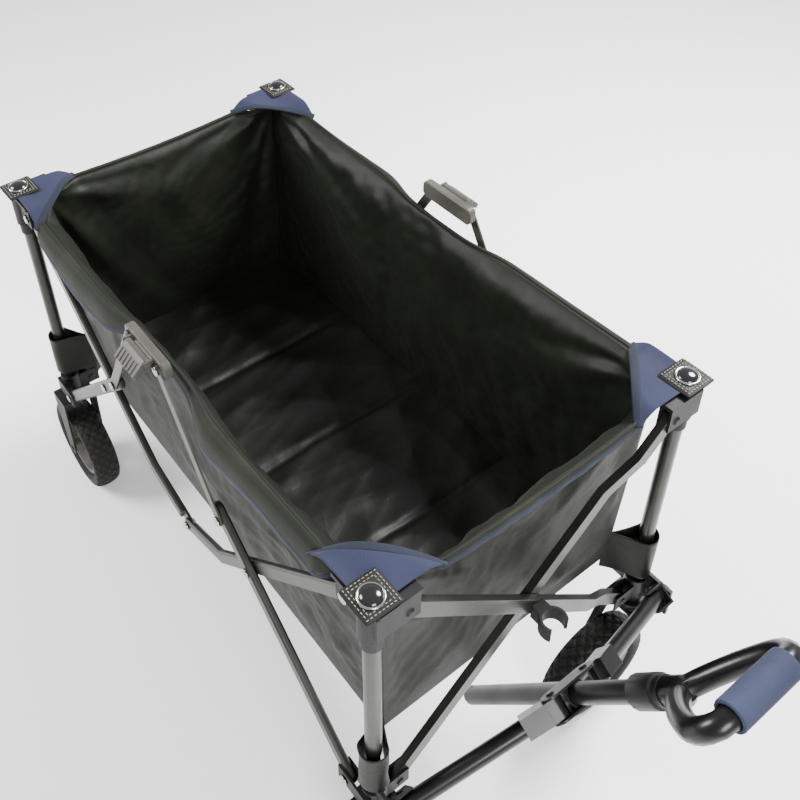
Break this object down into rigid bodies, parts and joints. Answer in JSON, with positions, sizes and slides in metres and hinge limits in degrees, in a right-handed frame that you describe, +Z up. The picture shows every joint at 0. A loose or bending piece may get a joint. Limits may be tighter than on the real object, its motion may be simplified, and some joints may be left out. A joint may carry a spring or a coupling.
{
  "type": "folding wagon with pull handle",
  "caption": "Folding utility wagon: fabric tub in a scissor frame with telescoping corner posts, spoked wheels, swivel casters and a telescoping loop pull handle.",
  "frame": {"origin": "on the ground under the middle of the bounding box", "axes": "+X forwards towards the pull handle, +Y to the wagon's left, +Z up"},
  "size_m": [1.2098, 0.5454, 0.663],
  "materials": {
    "caps": "moulded, satin",
    "post_steel": "satin gunmetal powder coat",
    "frame_steel": "satin dark grey powder coat",
    "link_steel": "satin grey-beige powder coat",
    "latch_plastic": "moulded, matt",
    "handle_steel": "gloss black powder coat",
    "inner_steel": "satin black",
    "tyre_rubber": "diamond tread, matt",
    "rim_plastic": "moulded grey",
    "grip_foam": "foam, matt",
    "tub_fabric": "woven polyester, dark olive"
  },
  "bodies": {
    "front_right_corner": {"front_right_hub": "caps", "front_right_lower_post": "post_steel", "fabric_tub": "tub_fabric", "floor_mat": "tub_fabric"},
    "right_front_strut": {"right_front_strut": "frame_steel"},
    "right_front_tie": {"right_front_tie": "frame_steel"},
    "right_rear_tie": {"right_rear_tie": "frame_steel"},
    "right_rear_strut": {"right_rear_strut": "frame_steel"},
    "right_front_latch_link": {"right_front_latch_link": "link_steel"},
    "right_rear_latch_link": {"right_rear_latch_link": "link_steel"},
    "right_latch": {"right_latch_housing": "latch_plastic"},
    "right_latch_lever": {"right_latch_lever": "latch_plastic"},
    "front_right_cap": {"front_right_cap": "caps", "front_right_upper_post": "post_steel"},
    "rear_right_corner": {"rear_right_hub": "caps", "rear_right_lower_post": "post_steel"},
    "rear_right_cap": {"rear_right_cap": "caps", "rear_right_upper_post": "post_steel"},
    "front_cross_bar_right": {"front_cross_bar_right": "frame_steel"},
    "front_cross_bar_left": {"front_cross_bar_left": "frame_steel", "handle_clip": "caps"},
    "front_left_corner": {"front_left_hub": "caps", "front_left_lower_post": "post_steel"},
    "front_left_cap": {"front_left_cap": "caps", "front_left_upper_post": "post_steel"},
    "left_front_strut": {"left_front_strut": "frame_steel"},
    "left_front_tie": {"left_front_tie": "frame_steel"},
    "left_rear_tie": {"left_rear_tie": "frame_steel"},
    "left_rear_strut": {"left_rear_strut": "frame_steel"},
    "left_front_latch_link": {"left_front_latch_link": "link_steel"},
    "left_rear_latch_link": {"left_rear_latch_link": "link_steel"},
    "left_latch": {"left_latch_housing": "latch_plastic"},
    "left_latch_lever": {"left_latch_lever": "latch_plastic"},
    "rear_left_corner": {"rear_left_hub": "caps", "rear_left_lower_post": "post_steel"},
    "rear_left_cap": {"rear_left_cap": "caps", "rear_left_upper_post": "post_steel"},
    "rear_cross_bar_right": {"rear_cross_bar_right": "frame_steel"},
    "rear_cross_bar_left": {"rear_cross_bar_left": "frame_steel"},
    "front_right_caster": {"front_right_caster_fork": "caps"},
    "front_right_wheel": {"front_right_tyre": "tyre_rubber", "front_right_rim": "rim_plastic"},
    "front_left_caster": {"front_left_caster_fork": "caps"},
    "front_left_wheel": {"front_left_tyre": "tyre_rubber", "front_left_rim": "rim_plastic"},
    "rear_right_wheel": {"rear_right_tyre": "tyre_rubber", "rear_right_rim": "rim_plastic"},
    "rear_left_wheel": {"rear_left_tyre": "tyre_rubber", "rear_left_rim": "rim_plastic"},
    "right_yoke": {"right_yoke": "caps"},
    "left_yoke": {"left_yoke": "caps"},
    "right_drawbar": {"right_drawbar_half": "handle_steel"},
    "left_drawbar": {"left_drawbar_half": "handle_steel"},
    "handle_tube": {"drawbar_bracket": "caps", "handle_outer_tube": "handle_steel"},
    "handle_slide": {"handle_inner_tube": "inner_steel", "handle_loop": "handle_steel", "handle_foam_grip": "grip_foam"},
    "twist_lock": {"handle_twist_lock": "caps"}
  },
  "joints": [
    {"name": "frame_fold", "type": "hinge", "parent": "front_right_corner", "child": "right_front_strut", "pos_m": [0.28604, -0.2386, 0.238], "axis": [0, 1, 0], "range_deg": [0, 35], "deforming": ["fabric_tub", "floor_mat"]},
    {"name": "right_front_crossing", "type": "hinge", "parent": "right_front_strut", "child": "right_front_tie", "pos_m": [0.09104, -0.228, 0.426], "axis": [0, 1, 0], "range_deg": [-70.1, 0]},
    {"name": "right_tie_centre", "type": "hinge", "parent": "right_front_tie", "child": "right_rear_tie", "pos_m": [-0.10096, -0.228, 0.3], "axis": [0, 1, 0], "range_deg": [0, 70.1]},
    {"name": "right_rear_crossing", "type": "hinge", "parent": "right_rear_tie", "child": "right_rear_strut", "pos_m": [-0.29296, -0.228, 0.426], "axis": [0, 1, 0], "range_deg": [-70.1, 0]},
    {"name": "right_front_link_foot", "type": "hinge", "parent": "right_front_strut", "child": "right_front_latch_link", "pos_m": [0.03983, -0.2442, 0.47537], "axis": [0, 1, 0], "range_deg": [-14.12, 0]},
    {"name": "right_latch_pivot", "type": "hinge", "parent": "right_front_latch_link", "child": "right_latch", "pos_m": [-0.06396, -0.2442, 0.65], "axis": [0, 1, 0], "range_deg": [-21.08, 0]},
    {"name": "right_rear_link_foot", "type": "hinge", "parent": "right_rear_strut", "child": "right_rear_latch_link", "pos_m": [-0.24175, -0.2442, 0.47537], "axis": [0, 1, 0], "range_deg": [0, 14.12]},
    {"name": "right_lever_hinge", "type": "hinge", "parent": "right_latch", "child": "right_latch_lever", "pos_m": [-0.10096, -0.2522, 0.654], "axis": [-1, 0, 0], "range_deg": [0, 12], "stiffness_Nm_per_rad": 0.3},
    {"name": "front_right_cap_pivot", "type": "hinge", "parent": "right_front_tie", "child": "front_right_cap", "pos_m": [0.28604, -0.228, 0.614], "axis": [0, 1, 0], "range_deg": [0, 35.1]},
    {"name": "rear_right_hub_pivot", "type": "hinge", "parent": "right_rear_strut", "child": "rear_right_corner", "pos_m": [-0.48796, -0.2386, 0.238], "axis": [0, 1, 0], "range_deg": [0, 35.1]},
    {"name": "rear_right_cap_pivot", "type": "hinge", "parent": "right_rear_tie", "child": "rear_right_cap", "pos_m": [-0.48796, -0.228, 0.614], "axis": [0, 1, 0], "range_deg": [-35.1, 0]},
    {"name": "front_cross_foot", "type": "hinge", "parent": "front_right_corner", "child": "front_cross_bar_right", "pos_m": [0.31904, -0.195, 0.238], "axis": [1, 0, 0], "range_deg": [0, 35.1]},
    {"name": "front_cross_crossing", "type": "hinge", "parent": "front_cross_bar_right", "child": "front_cross_bar_left", "pos_m": [0.31904, 0, 0.426], "axis": [1, 0, 0], "range_deg": [-70.1, 0]},
    {"name": "front_left_hub_pivot", "type": "hinge", "parent": "front_cross_bar_left", "child": "front_left_corner", "pos_m": [0.32964, 0.195, 0.238], "axis": [1, 0, 0], "range_deg": [0, 35.1]},
    {"name": "front_left_cap_pivot", "type": "hinge", "parent": "front_cross_bar_right", "child": "front_left_cap", "pos_m": [0.31904, 0.195, 0.614], "axis": [1, 0, 0], "range_deg": [-35.1, 0]},
    {"name": "left_front_strut_foot", "type": "hinge", "parent": "front_left_corner", "child": "left_front_strut", "pos_m": [0.28604, 0.2386, 0.238], "axis": [0, 1, 0], "range_deg": [0, 35.1]},
    {"name": "left_front_crossing", "type": "hinge", "parent": "left_front_strut", "child": "left_front_tie", "pos_m": [0.09104, 0.228, 0.426], "axis": [0, 1, 0], "range_deg": [-70.1, 0]},
    {"name": "left_tie_centre", "type": "hinge", "parent": "left_front_tie", "child": "left_rear_tie", "pos_m": [-0.10096, 0.228, 0.3], "axis": [0, 1, 0], "range_deg": [0, 70.1]},
    {"name": "left_rear_crossing", "type": "hinge", "parent": "left_rear_tie", "child": "left_rear_strut", "pos_m": [-0.29296, 0.228, 0.426], "axis": [0, 1, 0], "range_deg": [-70.1, 0]},
    {"name": "left_front_link_foot", "type": "hinge", "parent": "left_front_strut", "child": "left_front_latch_link", "pos_m": [0.03983, 0.2442, 0.47537], "axis": [0, 1, 0], "range_deg": [-14.12, 0]},
    {"name": "left_latch_pivot", "type": "hinge", "parent": "left_front_latch_link", "child": "left_latch", "pos_m": [-0.06396, 0.2442, 0.65], "axis": [0, 1, 0], "range_deg": [-21.08, 0]},
    {"name": "left_rear_link_foot", "type": "hinge", "parent": "left_rear_strut", "child": "left_rear_latch_link", "pos_m": [-0.24175, 0.2442, 0.47537], "axis": [0, 1, 0], "range_deg": [0, 14.12]},
    {"name": "left_lever_hinge", "type": "hinge", "parent": "left_latch", "child": "left_latch_lever", "pos_m": [-0.10096, 0.2522, 0.654], "axis": [1, 0, 0], "range_deg": [0, 12], "stiffness_Nm_per_rad": 0.3},
    {"name": "rear_left_hub_pivot", "type": "hinge", "parent": "left_rear_strut", "child": "rear_left_corner", "pos_m": [-0.48796, 0.2386, 0.238], "axis": [0, 1, 0], "range_deg": [0, 35.1]},
    {"name": "rear_left_cap_pivot", "type": "hinge", "parent": "left_rear_tie", "child": "rear_left_cap", "pos_m": [-0.48796, 0.228, 0.614], "axis": [0, 1, 0], "range_deg": [-35.1, 0]},
    {"name": "rear_cross_foot", "type": "hinge", "parent": "rear_right_corner", "child": "rear_cross_bar_right", "pos_m": [-0.52096, -0.195, 0.238], "axis": [1, 0, 0], "range_deg": [0, 35.1]},
    {"name": "rear_cross_crossing", "type": "hinge", "parent": "rear_cross_bar_right", "child": "rear_cross_bar_left", "pos_m": [-0.52096, 0, 0.426], "axis": [1, 0, 0], "range_deg": [-70.1, 0]},
    {"name": "front_right_caster_swivel", "type": "hinge", "parent": "front_right_corner", "child": "front_right_caster", "pos_m": [0.31904, -0.228, 0.08725], "axis": [0, 0, 1], "continuous": true},
    {"name": "front_left_caster_swivel", "type": "hinge", "parent": "front_left_corner", "child": "front_left_caster", "pos_m": [0.31904, 0.228, 0.08725], "axis": [0, 0, 1], "continuous": true},
    {"name": "front_right_wheel_spin", "type": "hinge", "parent": "front_right_caster", "child": "front_right_wheel", "pos_m": [0.37604, -0.228, 0.08725], "axis": [0, 1, 0], "continuous": true},
    {"name": "front_left_wheel_spin", "type": "hinge", "parent": "front_left_caster", "child": "front_left_wheel", "pos_m": [0.31904, 0.171, 0.08725], "axis": [1, 0, 0], "continuous": true},
    {"name": "rear_right_wheel_spin", "type": "hinge", "parent": "rear_right_corner", "child": "rear_right_wheel", "pos_m": [-0.52096, -0.228, 0.08725], "axis": [0, 1, 0], "continuous": true},
    {"name": "rear_left_wheel_spin", "type": "hinge", "parent": "rear_left_corner", "child": "rear_left_wheel", "pos_m": [-0.52096, 0.228, 0.08725], "axis": [0, 1, 0], "continuous": true},
    {"name": "handle_pitch", "type": "hinge", "parent": "front_right_corner", "child": "right_yoke", "pos_m": [0.36204, -0.214, 0.268], "axis": [0, 1, 0], "range_deg": [-25, 57.5]},
    {"name": "right_drawbar_swing", "type": "hinge", "parent": "right_yoke", "child": "right_drawbar", "pos_m": [0.36204, -0.214, 0.268], "axis": [-0.8434, 0, 0.5373], "range_deg": [-53.54, 0]},
    {"name": "bracket_swing", "type": "hinge", "parent": "right_drawbar", "child": "handle_tube", "pos_m": [0.40717, -0.027, 0.33884], "axis": [-0.8434, 0, 0.5373], "range_deg": [0, 53.54]},
    {"name": "left_yoke_pitch", "type": "hinge", "parent": "front_left_corner", "child": "left_yoke", "pos_m": [0.36204, 0.214, 0.268], "axis": [0, 1, 0], "range_deg": [-25.1, 57.6]},
    {"name": "left_drawbar_swing", "type": "hinge", "parent": "left_yoke", "child": "left_drawbar", "pos_m": [0.36204, 0.214, 0.268], "axis": [-0.8434, 0, 0.5373], "range_deg": [0, 53.54]},
    {"name": "handle_extend", "type": "slide", "parent": "handle_tube", "child": "handle_slide", "axis": [0.5373, 0, 0.8434], "range_m": [0, 0.3]},
    {"name": "lock_twist", "type": "hinge", "parent": "handle_tube", "child": "twist_lock", "pos_m": [0.48454, 0, 0.46029], "axis": [0.5373, 0, 0.8434], "range_deg": [0, 60]}
  ],
  "couplings": [
    {"joint": "right_front_crossing", "follows": "frame_fold", "ratio": -2},
    {"joint": "right_tie_centre", "follows": "frame_fold", "ratio": 2},
    {"joint": "right_rear_crossing", "follows": "frame_fold", "ratio": -2},
    {"joint": "right_front_link_foot", "follows": "frame_fold", "ratio": -0.4005},
    {"joint": "right_latch_pivot", "follows": "frame_fold", "ratio": -0.5995},
    {"joint": "right_rear_link_foot", "follows": "frame_fold", "ratio": 0.4005},
    {"joint": "front_right_cap_pivot", "follows": "frame_fold", "ratio": 1},
    {"joint": "rear_right_hub_pivot", "follows": "frame_fold", "ratio": 1},
    {"joint": "rear_right_cap_pivot", "follows": "frame_fold", "ratio": -1},
    {"joint": "front_cross_foot", "follows": "frame_fold", "ratio": 1},
    {"joint": "front_cross_crossing", "follows": "frame_fold", "ratio": -2},
    {"joint": "front_left_hub_pivot", "follows": "frame_fold", "ratio": 1},
    {"joint": "front_left_cap_pivot", "follows": "frame_fold", "ratio": -1},
    {"joint": "left_front_strut_foot", "follows": "frame_fold", "ratio": 1},
    {"joint": "left_front_crossing", "follows": "frame_fold", "ratio": -2},
    {"joint": "left_tie_centre", "follows": "frame_fold", "ratio": 2},
    {"joint": "left_rear_crossing", "follows": "frame_fold", "ratio": -2},
    {"joint": "left_front_link_foot", "follows": "frame_fold", "ratio": -0.4005},
    {"joint": "left_latch_pivot", "follows": "frame_fold", "ratio": -0.5995},
    {"joint": "left_rear_link_foot", "follows": "frame_fold", "ratio": 0.4005},
    {"joint": "rear_left_hub_pivot", "follows": "frame_fold", "ratio": 1},
    {"joint": "rear_left_cap_pivot", "follows": "frame_fold", "ratio": -1},
    {"joint": "rear_cross_foot", "follows": "frame_fold", "ratio": 1},
    {"joint": "rear_cross_crossing", "follows": "frame_fold", "ratio": -2},
    {"joint": "right_drawbar_swing", "follows": "frame_fold", "ratio": -1.527},
    {"joint": "bracket_swing", "follows": "frame_fold", "ratio": 1.527},
    {"joint": "left_yoke_pitch", "follows": "handle_pitch", "ratio": 1},
    {"joint": "left_drawbar_swing", "follows": "frame_fold", "ratio": 1.527}
  ]
}
